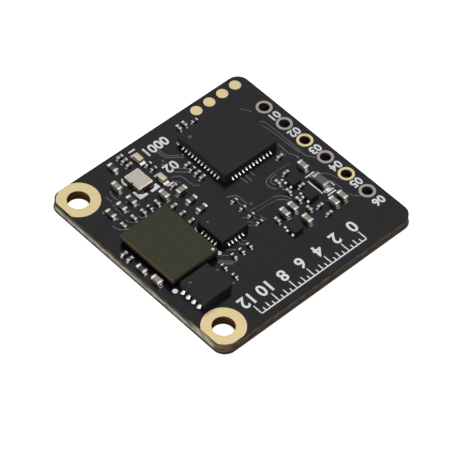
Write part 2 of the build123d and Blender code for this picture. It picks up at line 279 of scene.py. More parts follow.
# %% Lamps
def soft_lamp(name, place, size, watts, mirrored):
    """A square lamp at a place in millimetres, turned to the middle of the board."""
    data = bpy.data.lights.new(name, "AREA")
    data.size = size * mm
    data.energy = watts
    lamp = add_object(name, data)
    lamp.location = Vector(place) * mm
    lamp.rotation_euler = (-lamp.location).to_track_quat("-Z", "Y").to_euler()
    lamp.visible_glossy = mirrored


soft_lamp("key_lamp", (-190, 10, 45), size=90, watts=0.26, mirrored=False)
soft_lamp("top_lamp", (20, -60, 220), size=150, watts=0.25, mirrored=True)
print("two lamps")

# %% [markdown]
# ## Materials
#
# Each finish is a Principled shader with a fine grain. The grain reads Object coordinates,
# so it stays on the piece in every view. It shifts the colour and the roughness a little,
# and on some finishes raises a slight bump, because no real surface is perfectly even.

# %% A helper that makes a finish
noise_detail = 4
polish_spread = 0.2
finishes = {}


def noise(place, size):
    """Noise from 0 to 1, in lumps of a size in metres."""
    return value_from(place.tree, "ShaderNodeTexNoise", Vector=place, Scale=1 / size,
                      Detail=noise_detail, output="Fac")


def scaled(colour, share):
    """A colour times a number."""
    return value_from(share.tree, "ShaderNodeVectorMath", colour, Scale=share, operation="SCALE")


def finish(name, colour, roughness, metal=0.0, grain=0.05, spread=0.15, bump=0.0, **sockets):
    """A Principled material with grain in millimetres. A colour that varies is a function."""
    material = bpy.data.materials.new(name)
    material.use_nodes = True
    tree = material.node_tree
    shader = tree.nodes["Principled BSDF"]
    shader.inputs["Metallic"].default_value = metal
    for label, value in sockets.items():
        shader.inputs[label.replace("_", " ")].default_value = value

    place = value_from(tree, "ShaderNodeTexCoord", output="Object")
    lumps = noise(place, grain * mm)
    if callable(colour):
        shade = colour(place)
    else:
        shade = value_from(tree, "ShaderNodeRGB")
        feed(shade.socket, colour)
    feed(shader.inputs["Base Color"], scaled(shade, remap(lumps, 0, 1, 1 - spread, 1 + spread)))
    dullest = min(1, roughness * (1 + polish_spread))
    feed(shader.inputs["Roughness"], remap(lumps, 0, 1, roughness * (1 - polish_spread), dullest))
    if bump:
        relief = value_from(tree, "ShaderNodeBump", Strength=1, Distance=bump * mm, Height=lumps)
        feed(shader.inputs["Normal"], relief)
    finishes[name] = material
    return material


# %% [markdown]
# ## The sawn edges
#
# The board is glass cloth in resin under a black mask, and its edges are sawn through all of it. The
# layers run level round the whole board, so a colour ramp by height shows them and needs no picture.
# The front edge gets a darker copy of the layers, which is painted shade, and the cut is browner at
# the near corner and paler beside the near mounting land, so there are four ramps.

# %% Colour by height
def layered_colour(low, high, stops):
    """Colour by height: each stop is a share of the way from low to high, and a colour."""
    def colour(place):
        share = remap(parts_of(place)[2], low, high)
        ramp = add_node(place.tree, "ShaderNodeValToRGB", share)
        marks = ramp.color_ramp.elements
        while len(marks) < len(stops):
            marks.new(1.0)
        for mark, (position, shade) in zip(marks, stops):
            mark.position = position
            mark.color = (*shade, 1)
        return Value(ramp.outputs["Color"])
    return colour


def board_layers(*stops):
    """Colour by height in the board, from its underside at 0 to its top face at 1."""
    return layered_colour(board_floor, board_top, stops)


mask_colour = (0.0038, 0.0035, 0.0068)
bottom_resin = (0.06, 0.055, 0.045)
dark_resin = (0.050, 0.038, 0.025)
front_shade_resin = (0.088, 0.070, 0.054)
corner_resin = (0.114, 0.081, 0.056)
glass_cloth = (0.26, 0.255, 0.22)
thin_cloth = (0.125, 0.112, 0.088)
olive_cloth = (0.130, 0.115, 0.088)
pale_cloth = (0.30, 0.27, 0.225)
tan_cloth = (0.26, 0.20, 0.13)
brown_cloth = (0.22, 0.165, 0.10)

side_edges = board_layers(
    (0.02, mask_colour), (0.04, bottom_resin), (0.08, glass_cloth), (0.32, glass_cloth),
    (0.52, thin_cloth), (0.66, dark_resin), (0.94, dark_resin), (0.97, mask_colour),
)
# The front edge has the same layers in darker colours: painted shade.
front_edge = board_layers(
    (0.02, mask_colour), (0.05, front_shade_resin), (0.48, front_shade_resin), (0.58, olive_cloth),
    (0.70, olive_cloth), (0.80, front_shade_resin), (0.94, front_shade_resin), (0.97, mask_colour),
)
corner_edge = board_layers(
    (0.03, mask_colour), (0.08, dark_resin), (0.22, corner_resin), (1.0, corner_resin),
)
land_edge = board_layers(
    (0.02, mask_colour), (0.05, bottom_resin), (0.12, glass_cloth), (0.40, pale_cloth),
    (0.66, tan_cloth), (0.97, brown_cloth), (0.985, mask_colour),
)

# %% The edges of the board
corner_radius = 1.1 * mm
near_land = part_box("mounting_hole_plating_2")
land_blend = 0.6 * mm
corner_blend = 0.3 * mm
fibre_size = 0.9 * mm
fibre_flatness = 5
streak_darkest = -0.6
streak_palest = 2.6

# A Mix node has a set of sockets for each kind of value. These are the ones for colours.
first_colour, second_colour, mixed_colour = 6, 7, 2


def mix_colours(share, low, high):
    """A colour between two others."""
    node = add_node(share.tree, "ShaderNodeMix", share, data_type="RGBA")
    feed(node.inputs[first_colour], low)
    feed(node.inputs[second_colour], high)
    return Value(node.outputs[mixed_colour])


def board_shade(place):
    """The layers on the sawn edges, in level streaks, with painted shade on the front edge."""
    x, y = parts_of(place)[:2]
    is_front = calculate("LESS_THAN", y, board_low.y + corner_radius)
    land_end = near_land[1].y
    near = remap(y, land_end - land_blend, land_end + land_blend, 1, 0)
    by_land = near * calculate("LESS_THAN", x, near_land[1].x)
    corner_end = board_low.x + board_low.y + corner_radius
    in_corner = remap(x + y, corner_end, corner_end + corner_blend, 1, 0)
    side = mix_colours(by_land, side_edges(place), land_edge(place))
    edge = mix_colours(is_front, side, front_edge(place))
    layers = mix_colours(in_corner, edge, corner_edge(place))
    fibres = noise(place * (1, 1, fibre_flatness), fibre_size)
    return scaled(layers, remap(fibres, 0, 1, streak_darkest, streak_palest))


print("near corner radius", round(corner_radius / mm, 2), "mm")

# %% [markdown]
# ## Faces that stand upright
#
# The parts stand so close together that their sides get little light and mirror each other.
# In the photograph they are almost black. Weaker lamps or a darker sky would change the
# tops too, so the finish itself knows a level face from an upright one by its normal.

# %% Level faces and upright ones
def levelness(tree):
    """1 on level faces and 0 on upright ones."""
    normal = value_from(tree, "ShaderNodeNewGeometry", output="Normal")
    return abs(parts_of(normal)[2])


def dull_sides(material, **sockets):
    """Each named value on level faces, and none of it on upright ones."""
    tree = material.node_tree
    shader = tree.nodes["Principled BSDF"]
    for label, value in sockets.items():
        feed(shader.inputs[label.replace("_", " ")], levelness(tree) * value)


def dark_sides(top, side):
    """One colour on level faces, and a darker one on the sides: painted shade, as the board shades
    them.
    """
    def colour(place):
        return mix_colours(levelness(place.tree), side, top)
    return colour


solder_mask = finish("solder_mask", board_shade, 0.22, grain=0.06, spread=0.25, bump=0.0004)
dull_sides(solder_mask, Specular_IOR_Level=0.3)
# Tracks and vias under the mask are paler than the mask itself: a painted highlight on their ridges.
finish("mask_ridge_highlight", (0.12, 0.12, 0.125), 0.3, grain=0.06, Specular_IOR_Level=0.3)
print("board finish", solder_mask.name)

# %% [markdown]
# ## Plating in the holes
#
# A plated hole is gold on the board's faces, and its wall is seen only in the dark of the hole. A
# bright metal wall would mirror the sky and the paper, so the wall has painted shade instead: a dark
# colour by height, as the board's edge has, and no shine. Some rings are worn silver grey.

# %% Platings
gold = (0.83, 0.675, 0.365)
silver_wear = (0.42, 0.38, 0.34)
shaded_barrel_brown = (0.085, 0.042, 0.019)
shaded_barrel_black = (0.06, 0.042, 0.046)


def plating(name, face, barrel):
    """Plating that is bright on the board's faces, with painted shade down in the hole."""
    layers = board_layers((0.0, face), (0.03, barrel), (0.95, barrel), (0.99, face))
    material = finish(name, layers, 0.3, grain=0.12, spread=0.1, bump=0.0008)
    dull_sides(material, Metallic=1.0, Specular_IOR_Level=0.5)


plating("gold_plating", gold, shaded_barrel_brown)
plating("gold_ring_plating", gold, shaded_barrel_black)
plating("worn_ring_plating", silver_wear, shaded_barrel_black)
print("three platings")

# %% [markdown]
# ## Metals, mouldings and ceramics
#
# Solder is a bright metal, tinned leads are duller, and the crystal's lid is warm nickel. The moulded
# chips are a dull black with a fine bump, the capacitors brown ceramic, and the resistors a glossy
# glaze. The radar package is laminate, so it has layers of its own, and the lowest of them are
# painted shadow.

# %% Metals
finish("solder", (0.78, 0.78, 0.77), 0.25, metal=1.0, grain=0.15, bump=0.0004)
# part_solder is a darker copy of solder: painted shade on the joints of the crowded chip parts.
finish("part_solder", (0.60, 0.60, 0.59), 0.28, metal=1.0, grain=0.15, bump=0.0004)
# The dimmer tin below is painted shade on the choke's caps and solder.
finish("shaded_tin", (0.42, 0.40, 0.36), 0.36, metal=1.0, bump=0.001)
finish("shaded_solder", (0.08, 0.08, 0.08), 0.5, metal=1.0, grain=0.08, bump=0.002)
finish("pale_gold", (1.0, 0.92, 0.74), 0.25, metal=1.0, bump=0.0008)
finish("tin_plating", (0.72, 0.70, 0.665), 0.34, metal=1.0, bump=0.001)
finish("nickel_lid", (0.58, 0.52, 0.48), 0.38, metal=1.0, bump=0.001)
print(len(finishes), "finishes so far")

# %% Mouldings, ceramics and ink
radar_low, radar_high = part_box("radar_package")
package_shadow = (0.006, 0.004, 0.003)
package_low_shade = (0.01, 0.006, 0.004)
package_brown = (0.05, 0.032, 0.015)
package_copper = (0.075, 0.070, 0.038)
package_olive = (0.045, 0.044, 0.025)
package_rim = (0.054, 0.053, 0.031)
# The two lowest stops are painted shadow on the bottom of the package's sides.
package_layers = layered_colour(radar_low.z, radar_high.z, [
    (0.0, package_shadow), (0.3, package_low_shade), (0.45, package_brown), (0.66, package_brown),
    (0.7, package_copper), (0.95, package_copper), (0.97, package_olive), (0.985, package_olive),
    (0.995, package_rim),
])
# The upright sides of the capacitors, the choke and the lamps get painted shade.
capacitor_colour = dark_sides(top=(0.35, 0.308, 0.26), side=(0.05, 0.036, 0.026))
ferrite_colour = dark_sides(top=(0.10, 0.10, 0.10), side=(0.02, 0.02, 0.02))
lamp_colour = dark_sides(top=(0.76, 0.64, 0.46), side=(0.05, 0.04, 0.028))

finish("package_laminate", package_layers, 0.4, grain=0.06, bump=0.0008, Specular_IOR_Level=0.15)
finish("moulding_compound", (0.016, 0.016, 0.016), 0.5, grain=0.04, spread=0.3, bump=0.002,
       Specular_IOR_Level=0.22)
finish("capacitor_ceramic", capacitor_colour, 0.5, grain=0.06, bump=0.001, Specular_IOR_Level=0.3)
finish("resistor_glaze", (0.008, 0.008, 0.009), 0.25)
finish("large_resistor_glaze", (0.040, 0.039, 0.041), 0.25)
finish("ferrite", ferrite_colour, 0.6, bump=0.002)
finish("dark_ceramic", (0.03, 0.025, 0.02), 0.5)
finish("lamp_resin", lamp_colour, 0.35, grain=0.1)
finish("lamp_base", (0.50, 0.46, 0.38), 0.5)
finish("printing_ink", (0.86, 0.87, 0.90), 0.55, spread=0.06)
print(len(finishes), "finishes")

# %% Give every solid its finish
slot_of_node = {entry["node"]: entry["material_slot"] for entry in frame["record"]["subparts"]}
own_finish = {"crystal_seal_ring": "pale_gold", "crystal_solder": "shaded_solder"}
header_holes = 6
worn_rings = (1, 2, 4, 6)
for number in range(1, header_holes + 1):
    ring = "worn_ring_plating" if number in worn_rings else "gold_ring_plating"
    own_finish["header_hole_plating_%d" % number] = ring
for name, solid in nodes.items():
    solid.data.materials.clear()
    solid.data.materials.append(finishes[own_finish.get(name, slot_of_node[name])])
print("finishes on", len(nodes), "solids")

# %% [markdown]
# ## Reading seats from the frame
#
# The chip parts, their caps and their solder stand in groups, one node for each kind. A
# list of places would only repeat the solid model. Instead each loose solid of a node is
# measured: its middle is the seat and its sides are the size.

# %% Loose solids of a node
same_point = 0.0001 * mm


def loose_solids(name):
    """Middle and size of every separate solid in one node."""
    mesh = bmesh.new()
    mesh.from_mesh(nodes[name].data)
    bmesh.ops.remove_doubles(mesh, verts=mesh.verts, dist=same_point)
    waiting = set(mesh.verts)
    found = []
    while waiting:
        group = [waiting.pop()]
        for corner in group:
            for edge in corner.link_edges:
                other = edge.other_vert(corner)
                if other in waiting:
                    waiting.remove(other)
                    group.append(other)
        low = Vector([min(v.co[axis] for v in group) for axis in range(3)])
        high = Vector([max(v.co[axis] for v in group) for axis in range(3)])
        found.append(((low + high) / 2, high - low))
    mesh.free()
    return sorted(found, key=lambda solid: tuple(solid[0]))


print("capacitor caps:", len(loose_solids("small_capacitor_end_caps")))

# %% Seats along each part
def block_seats(name):
    """Seats of plain blocks: place on the floor of the block and its turn."""
    seats = []
    for middle, size in loose_solids(name):
        turn = math.pi / 2 if size.y > size.x else 0.0
        seats.append((Vector((middle.x, middle.y, middle.z - size.z / 2)), turn))
    middle, size = loose_solids(name)[0]
    local = Vector((max(size.x, size.y), min(size.x, size.y), size.z))
    return seats, local


def outward_seats(name, hub):
    """Seats of pieces that point away from the nearest solid of the hub node."""
    hubs = [middle for middle, size in loose_solids(hub)]
    seats = []
    for middle, size in loose_solids(name):
        centre = min(hubs, key=lambda place: (place.xy - middle.xy).length)
        away = middle.xy - centre.xy
        along_x = abs(away.x) > abs(away.y)
        turn = math.atan2(0, away.x) if along_x else math.atan2(away.y, 0)
        reach, width = (size.x, size.y) if along_x else (size.y, size.x)
        outward = Vector((math.cos(turn), math.sin(turn), 0))
        inner = middle - outward * reach / 2
        inner.z = middle.z - size.z / 2
        seats.append((inner, turn))
    return seats, Vector((reach, width, size.z))


print("a small cap measures", in_mm(block_seats("small_capacitor_end_caps")[1]), "mm")

# %% [markdown]
# ## Node trees that put one shape on every seat
#
# Each kind of chip part is one small shape repeated, which is work for Geometry Nodes: the
# tree makes the shape from named sizes, puts it on every seat with its turn, and gives it
# its finish. The result is turned into a plain mesh, so the part can be exported.

# %% A tree with named sizes
class Tree:
    """A Geometry Nodes tree that takes seats in and gives finished pieces out."""

    def __init__(self, name, *labels):
        self.group = bpy.data.node_groups.new(name, "GeometryNodeTree")
        sockets = self.group.interface
        sockets.new_socket("Geometry", in_out="OUTPUT", socket_type="NodeSocketGeometry")
        sockets.new_socket("Geometry", in_out="INPUT", socket_type="NodeSocketGeometry")
        for label in labels:
            sockets.new_socket(label, in_out="INPUT", socket_type="NodeSocketFloat")
        sockets.new_socket("Finish", in_out="INPUT", socket_type="NodeSocketMaterial")
        inputs = self.group.nodes.new("NodeGroupInput").outputs
        self.geometry = Value(inputs["Geometry"])
        self.finish = Value(inputs["Finish"])
        self.sizes = [Value(inputs[label]) for label in labels]
        self.result = self.group.nodes.new("NodeGroupOutput").inputs[0]

    def add(self, kind, *values, **named):
        """What a new node of this tree gives."""
        return value_from(self.group, kind, *values, **named)

    def combine(self, x, y, z):
        """A vector from three numbers."""
        return self.add("ShaderNodeCombineXYZ", x, y, z)

    def position(self):
        """Where each point of the shape is."""
        return self.add("GeometryNodeInputPosition")

    def place_on_seats(self, shape):
        """Copies of the shape on every seat, made real, smooth and finished."""
        turn = self.add("GeometryNodeInputNamedAttribute", "turn", data_type="FLOAT")
        copies = self.add("GeometryNodeInstanceOnPoints", Points=self.geometry, Instance=shape,
                          Rotation=self.combine(0, 0, turn))
        self.finish_with(self.add("GeometryNodeRealizeInstances", copies))

    def finish_with(self, geometry):
        """Smooth shading and the finish, then out of the tree."""
        smooth = self.add("GeometryNodeSetShadeSmooth", geometry)
        finished = self.add("GeometryNodeSetMaterial", Geometry=smooth, Material=self.finish)
        feed(self.result, finished)


# %% Run a tree on its seats
def run_tree(name, tree, mesh, sizes, material):
    """Runs a tree on a mesh of seats and returns the finished piece."""
    worker = add_object(name + "_worker", mesh)
    modifier = worker.modifiers.new("shape", "NODES")
    modifier.node_group = tree.group
    values = {**sizes, "Finish": material}
    for item in tree.group.interface.items_tree:
        if item.in_out == "INPUT" and item.name in values:
            modifier[item.identifier] = values[item.name]
    depsgraph = bpy.context.evaluated_depsgraph_get()
    result = bpy.data.meshes.new_from_object(worker.evaluated_get(depsgraph))
    worker.modifiers.clear()
    bpy.data.objects.remove(worker)
    result.name = name
    return add_object(name, result)


def seat_mesh(name, seats):
    """A mesh with one loose point for each seat, which carries its turn."""
    mesh = bpy.data.meshes.new(name + "_seats")
    mesh.from_pydata([place for place, turn in seats], [], [])
    turns = mesh.attributes.new("turn", "FLOAT", "POINT")
    turns.data.foreach_set("value", [turn for place, turn in seats])
    return mesh


# %% [markdown]
# ## Rounded blocks
#
# Caps and ceramic bodies are blocks with worn corners, because the real ones are tumbled
# before they are plated. A cube with three by three faces on each side is enough: its outer
# points are pulled in to a fixed distance from an inner block, which rounds every edge.

# %% The rounded block tree
points_per_edge = 4
block_tree = Tree("rounded_block", "Length", "Width", "Height", "Rounding")
block_length, block_width, block_height, block_rounding = block_tree.sizes
half_size = block_tree.combine(block_length / 2, block_width / 2, block_height / 2)
rounding = block_tree.combine(block_rounding, block_rounding, block_rounding)
core = half_size - rounding
cube = block_tree.add("GeometryNodeMeshCube", half_size + half_size, *[points_per_edge] * 3)
where = block_tree.position()
outside = calculate("MAXIMUM", abs(where) - core, (0, 0, 0))
pulled = calculate("NORMALIZE", outside) * rounding
rounded = (core + pulled) * calculate("SIGN", where)
lifted = rounded + block_tree.combine(0, 0, block_height / 2)
block_tree.place_on_seats(block_tree.add("GeometryNodeSetPosition", cube, True, lifted))
print("tree", block_tree.group.name, "has", len(block_tree.group.nodes), "nodes")

# %% Blocks for the chip parts
def rounded_blocks(node, rounding_mm, finish_name=None):
    """Rounded blocks in place of the plain ones of a node."""
    seats, size = block_seats(node)
    name = node + "_rounded"
    slot = slot_of_node[node]
    sizes = {
        "Length": size.x,
        "Width": size.y,
        "Height": size.z,
        "Rounding": rounding_mm * mm,
    }
    piece = run_tree(name, block_tree, seat_mesh(name, seats), sizes, finishes[finish_name or slot])
    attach(piece, "root")
    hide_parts(node)
    print(name, len(seats), "blocks,", len(piece.data.polygons), "faces")


for kind, body_rounding, cap_rounding, body_finish in (
    ("large_capacitor", 0.03, 0.04, None),
    ("large_resistor", 0.03, 0.03, "large_resistor_glaze"),
    ("small_capacitor", 0.02, 0.025, None),
    ("small_resistor", 0.02, 0.02, None),
):
    rounded_blocks(kind + "_bodies", body_rounding, body_finish)
    rounded_blocks(kind + "_end_caps", cap_rounding)
rounded_blocks("choke_body", 0.04)
rounded_blocks("choke_end_caps", 0.05, "shaded_tin")
rounded_blocks("indicator_1_lens", 0.06)
rounded_blocks("indicator_2_lens", 0.06)

# %% [markdown]
# ## Solder
#
# Molten solder wets the metal and draws itself into a hollow curve between the part's end
# and its land, with a soft rim at the toe. The tree makes a slab of points, then moves its
# top to that curve: high at the part, low at the toe, and a little lower at both sides. Each
# power below says how sharply a curve bends.

# %% The solder tree
toe_power = 2.2
hollow_power = 3.2
rim_power = 5
crown_power = 2.5
crown_drop = 0.35
slab_points = (8, 7, 2)

solder_tree = Tree("solder_fillet", "Reach", "Width", "Climb", "Rim", "Roundness", "Flare")
reach, width, climb, rim, roundness, flare = solder_tree.sizes
slab = solder_tree.add("GeometryNodeMeshCube", (1, 1, 1), *slab_points)
slab_x, slab_y, slab_z = parts_of(solder_tree.position())

# The slab reaches from -0.5 to 0.5 each way. So along is 0 at the part and 1 at the toe,
# and side is 0 in the middle and 1 at both sides.
along = slab_x + 0.5
side = abs(slab_y * 2)
is_top = calculate("GREATER_THAN", slab_z, 0)
joint_x = along * (1 - side ** toe_power * roundness) * reach
joint_y = slab_y * width * (1 + along * flare)
slope = (1 - along) ** hollow_power * (climb - rim)
soft_rim = (1 - along ** rim_power) * rim
crown = 1 - side ** crown_power * crown_drop
joint_z = (slope + soft_rim) * crown * is_top
joint_place = solder_tree.combine(joint_x, joint_y, joint_z)
solder_tree.place_on_seats(solder_tree.add("GeometryNodeSetPosition", slab, True, joint_place))
print("tree", solder_tree.group.name, "has", len(solder_tree.group.nodes), "nodes")

# %% Solder at every cap and lead
def solder_joints(node, hub, metal="solder", rim_share=0.25, roundness=0.55, flare=0.0):
    """Curved joints in place of the plain wedges of a node."""
    seats, size = outward_seats(node, hub)
    name = node + "_curved"
    sizes = {
        "Reach": size.x,
        "Width": size.y,
        "Climb": size.z,
        "Rim": size.z * rim_share,
        "Roundness": roundness,
        "Flare": flare,
    }
    piece = run_tree(name, solder_tree, seat_mesh(name, seats), sizes, finishes[metal])
    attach(piece, "root")
    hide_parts(node)


for kind in ("large_capacitor", "small_capacitor"):
    solder_joints(kind + "_solder", kind + "_bodies", "part_solder")
solder_joints("choke_solder", "choke_body", "shaded_tin")
for kind in ("large_resistor", "small_resistor"):
    solder_joints(kind + "_solder", kind + "_bodies", "part_solder", rim_share=0.35, roundness=0.75)
for chip in ("processor", "interface_chip"):
    solder_joints(chip + "_solder", chip + "_body", rim_share=0.3, roundness=0.65)
solder_joints("memory_chip_solder", "memory_chip_body", rim_share=0.55, roundness=0.7, flare=0.8)

# %% [markdown]
# ## Solder balls
#
# The radar package stands on a ring of solder balls. Each started as a ball and was
# squashed between package and board, so it is a sphere with its top and bottom pressed flat.

# %% The ball tree
ball_segments = 14
ball_rings = 8
ball_tree = Tree("solder_ball", "Radius", "Height")
ball_radius, ball_height = ball_tree.sizes
ball = ball_tree.add("GeometryNodeMeshUVSphere", ball_segments, ball_rings, ball_radius)
ball_x, ball_y, ball_z = parts_of(ball_tree.position())
half_height = ball_height / 2
raised_floor = calculate("MAXIMUM", ball_z, half_height * -1)
pressed = calculate("MINIMUM", raised_floor, half_height)
ball_place = ball_tree.combine(ball_x, ball_y, pressed + half_height)
ball_tree.place_on_seats(ball_tree.add("GeometryNodeSetPosition", ball, True, ball_place))
print("tree", ball_tree.group.name, "has", len(ball_tree.group.nodes), "nodes")

# %% Balls on their grid
ball_seats, ball_size = block_seats("radar_solder_balls")
unturned = [(place, 0.0) for place, turn in ball_seats]
ball_sizes = {"Radius": ball_size.x / 2, "Height": ball_size.z}
balls = run_tree("radar_balls_round", ball_tree, seat_mesh("radar_balls", unturned), ball_sizes,
                 finishes["solder"])
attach(balls, "root")
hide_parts("radar_solder_balls")
print(len(ball_seats), "balls")

# %% [markdown]
# ## Tracks
#
# Copper tracks run under the solder mask, which drapes over them, so they show as soft ridges. The
# ridges are paler than the mask: the light that their edges catch is painted into their colour as a
# highlight. Each track is a short path of points. The tree rounds its corners and sweeps a flat oval
# along it, half sunk in the board.

# %% The track tree
corner_steps = 4
oval_points = 10
track_tree = Tree("raised_track", "Width", "Height", "Corner")
track_width, track_rise, track_corner = track_tree.sizes
path = track_tree.add("GeometryNodeMeshToCurve", track_tree.geometry)
filleted = track_tree.add("GeometryNodeFilletCurve", Curve=path, Count=corner_steps,
                          Radius=track_corner, mode="POLY")
circle = track_tree.add("GeometryNodeCurvePrimitiveCircle", Resolution=oval_points, Radius=1)
oval = track_tree.add("GeometryNodeTransform", Geometry=circle,
                      Scale=track_tree.combine(track_width / 2, track_rise, 1))
swept = track_tree.add("GeometryNodeCurveToMesh", Curve=filleted, Profile_Curve=oval, Fill_Caps=True)
track_tree.finish_with(swept)
print("tree", track_tree.group.name, "has", len(track_tree.group.nodes), "nodes")

# %% The tracks that show
tracks_by_mounting_hole = [
    [(-8.96, 4.91), (-8.94, 4.55), (-8.77, 4.24), (-8.48, 3.94)],
    [(-8.37, 3.87), (-8.01, 3.78), (-7.68, 3.71)],
    [(-7.70, 4.75), (-7.68, 4.40), (-7.54, 4.18), (-7.24, 3.95)],
    [(-6.67, 4.35), (-6.60, 4.11), (-6.46, 3.95), (-6.17, 3.77)],
    [(-6.63, 7.91), (-6.81, 7.40), (-6.78, 6.79)],
    [(-7.29, 7.68), (-7.32, 7.33), (-7.25, 6.90)],
    [(-7.43, 6.63), (-7.45, 5.98), (-7.56, 5.35)],
]
tracks_by_lamps = [
    [(-0.39, 8.80), (-0.39, 7.92), (-0.18, 7.64), (0.47, 7.09)],
    [(-0.68, 8.68), (-0.65, 8.27), (-0.55, 7.68), (-0.28, 7.41), (0.64, 6.65)],
    [(-0.77, 6.23), (0.04, 5.49)],
    [(-1.14, 6.02), (-0.23, 5.20)],
    [(-1.83, 5.70), (-1.44, 5.62), (-1.04, 5.31), (-0.94, 4.92), (-0.90, 4.15), (-0.85, 3.76),
     (-0.50, 3.46)],
    [(-1.96, 5.30), (-1.64, 5.02), (-1.47, 4.72)],
]
tracks_by_processor = [
    [(8.34, 5.37), (8.60, 5.14), (8.63, 4.42), (8.67, 2.85), (8.62, 1.06), (8.58, 0.04),
     (8.79, -0.37), (9.11, -0.77)],
    [(8.12, 5.02), (8.23, 4.69), (8.35, 3.51), (8.40, 1.94), (8.42, 0.48)],
    [(7.73, 2.61), (7.71, 2.09), (7.66, 0.92)],
    [(7.35, 1.72), (7.28, 1.02)],
    [(7.80, 0.95), (7.99, 0.40)],
    [(8.03, 7.57), (8.30, 7.23), (8.58, 6.63)],
    [(2.67, 1.84), (2.76, 0.94)],
    [(3.21, 1.73), (3.16, 0.88)],
    [(3.77, 1.77), (3.74, 1.12)],
    [(3.89, -0.13), (4.20, 0.19), (4.94, 0.29)],
    [(4.30, -0.19), (4.57, 0.02), (5.20, 0.07)],
]
tracks_by_small_chips = [
    [(0.26, 0.98), (0.62, 0.88), (0.98, 0.65), (1.13, 0.44), (1.14, 0.21), (1.09, -0.71)],
    [(0.69, 0.53), (0.63, -0.52), (0.68, -1.15)],
    [(-0.24, -1.52), (0.07, -1.79)],
    [(-0.26, -2.15), (-0.04, -2.28), (0.12, -2.60)],
    [(-0.39, -2.47), (-0.27, -2.65), (0.10, -2.98), (0.41, -2.96)],
    [(0.58, -1.80), (0.56, -2.44)],
    [(1.04, -2.35), (1.11, -3.07)],
    [(3.89, -0.20), (3.82, -0.59), (3.92, -0.90), (4.19, -1.11)],
    [(4.30, -0.19), (4.28, -0.59), (4.49, -0.80)],
    [(4.66, -1.17), (4.50, -1.70)],
    [(-1.94, -3.21), (-1.87, -3.49), (-1.70, -3.56)],
    [(-2.30, -3.11), (-2.24, -3.53), (-2.03, -3.85)],
    [(-3.69, -3.26), (-3.30, -3.45), (-2.99, -3.72)],
    [(-4.40, -3.41), (-4.14, -3.50), (-3.84, -3.79)],
    [(-5.12, -3.71), (-4.80, -3.85), (-4.47, -4.21), (-4.05, -4.62), (-3.72, -4.63)],
]
tracks_by_header = [
    [(4.29, -2.78), (4.18, -2.28), (3.82, -1.87), (3.38, -1.60)],
    [(4.03, -2.75), (3.74, -2.32), (3.31, -2.04)],
    [(7.98, -2.18), (8.38, -2.50), (8.72, -3.01), (8.88, -3.69)],
    [(8.24, -3.50), (8.30, -4.04), (8.32, -4.75)],
    [(8.37, -5.54), (8.48, -5.91), (8.97, -6.38)],
]
faint_tracks = [
    [(3.38, -1.60), (2.04, -1.54), (0.69, -1.38)],
    [(3.31, -2.04), (2.38, -1.91), (1.16, -1.87)],
    [(4.94, 0.29), (5.98, 0.28), (6.99, 0.22)],
]
wide_tracks = [
    [(-4.96, -3.71), (-4.17, -4.61)],
]
covered_vias = [
    (-8.61, 6.49), (-8.16, 5.22), (-6.93, 5.24), (-7.51, 6.11), (-6.38, 6.14), (-5.80, 5.27),
    (-5.62, -4.30), (-5.58, -6.20), (1.37, -0.92), (0.72, 6.92), (-1.29, 7.18), (-0.99, 7.51),
    (7.95, 0.26),
]


def tracks(name, paths, width, corner):
    """One piece with every track of a width."""
    points = []
    runs = []
    for route in paths:
        first = len(points)
        points += [(px * mm, py * mm, board_top) for px, py in route]
        runs += [(first + n, first + n + 1) for n in range(len(route) - 1)]
    mesh = bpy.data.meshes.new(name + "_paths")
    mesh.from_pydata(points, runs, [])
    sizes = {"Width": width * mm, "Height": track_height, "Corner": corner * mm}
    piece = run_tree(name, track_tree, mesh, sizes, finishes["mask_ridge_highlight"])
    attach(piece, "root")
    print(name, len(paths), "tracks")


fine_tracks = (tracks_by_mounting_hole + tracks_by_lamps + tracks_by_processor
               + tracks_by_small_chips + tracks_by_header)
tracks("fine_tracks", fine_tracks, width=0.12, corner=0.2)
tracks("faint_tracks", faint_tracks, width=0.06, corner=0.2)
tracks("wide_tracks", wide_tracks, width=0.45, corner=0.25)

# %% [markdown]
# A via under the mask shows as a small round bump, paler than the mask, with the same painted
# highlight as the tracks. The ball tree makes it too, from a ball pressed as thin as a track.

# %% Vias under the mask
via_radius = 0.14 * mm
via_seats = [(Vector((px * mm, py * mm, board_top)), 0.0) for px, py in covered_vias]
via_sizes = {"Radius": via_radius, "Height": track_height}
vias = run_tree("covered_vias", ball_tree, seat_mesh("vias", via_seats), via_sizes,
                finishes["mask_ridge_highlight"])
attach(vias, "root")
print(len(via_seats), "vias under the mask")

# %% [markdown]
# ## White marks
#
# White ink marks the board: dots and arcs at the corners of the chips, brackets round the
# choke and the crystal, bars at the lamps, and numbers at the lamps and the header holes. A
# picture of the marks would blur near by, so every mark is a thin slab of ink, drawn with
# one short helper for each form.

# %% Helpers that draw with ink
ink = bmesh.new()


def ink_outline(points):
    """A flat shape of ink from its corners in millimetres."""
    low = [ink.verts.new((px * mm, py * mm, board_top)) for px, py in points]
    high = [ink.verts.new((px * mm, py * mm, board_top + ink_height)) for px, py in points]
    ink.faces.new(low)
    ink.faces.new(high)
    count = len(points)
    for n in range(count):
        ink.faces.new((low[n], low[(n + 1) % count], high[(n + 1) % count], high[n]))


def ink_bar(x0, y0, x1, y1):
    """A straight-sided bar between two corners."""
    ink_outline([(x0, y0), (x1, y0), (x1, y1), (x0, y1)])


def on_circle(cx, cy, radius, turns):
    """Places on a circle, one for each turn."""
    return [(cx + radius * math.cos(t), cy + radius * math.sin(t)) for t in turns]


def ink_dot(cx, cy, radius, corners=24):
    """A round dot."""
    ink_outline(on_circle(cx, cy, radius, [2 * math.pi * n / corners for n in range(corners)]))


